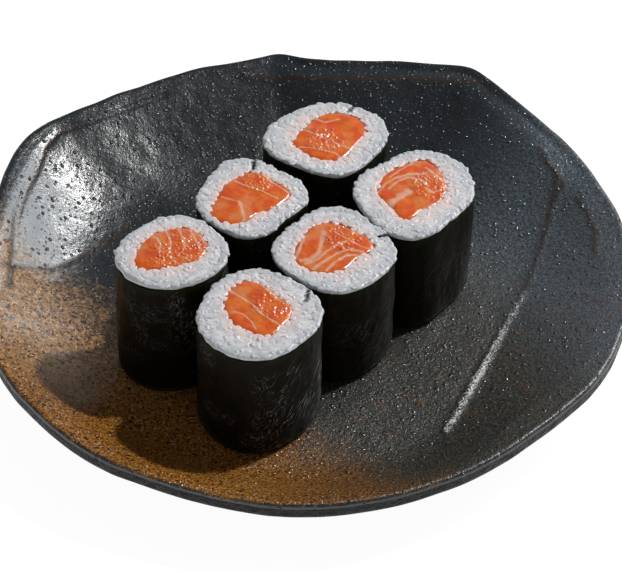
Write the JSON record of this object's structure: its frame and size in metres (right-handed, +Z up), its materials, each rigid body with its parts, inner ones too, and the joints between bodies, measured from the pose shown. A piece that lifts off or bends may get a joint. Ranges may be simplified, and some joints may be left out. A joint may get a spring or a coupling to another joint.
{
  "type": "maki sushi roll",
  "caption": "Cut salmon maki sushi pieces of rice, nori and raw salmon, standing in two rows on a shallow folded stoneware plate.",
  "frame": {"origin": "centre of the plate's outline in plan, on the surface the foot ring rests on", "axes": "+Z up; +Y towards the back of the plate, where its rim has two corners; +X to the right"},
  "size_m": [0.1488, 0.1448, 0.0415],
  "materials": {
    "glaze": "glossy dark glaze with brown and ochre areas over bumpy stoneware",
    "nori": "dark green-black seaweed with fine glossy wrinkles",
    "rice": "moist translucent white cooked grains",
    "salmon": "wet raw orange flesh with pale bands of fat"
  },
  "bodies": {
    "root": {"plate": "glaze", "nori_a": "nori", "rice_a": "rice", "salmon_a": "salmon", "nori_b": "nori", "rice_b": "rice", "salmon_b": "salmon", "nori_c": "nori", "rice_c": "rice", "salmon_c": "salmon", "nori_d": "nori", "rice_d": "rice", "salmon_d": "salmon", "nori_e": "nori", "rice_e": "rice", "salmon_e": "salmon", "nori_f": "nori", "rice_f": "rice", "salmon_f": "salmon"}
  },
  "joints": []
}
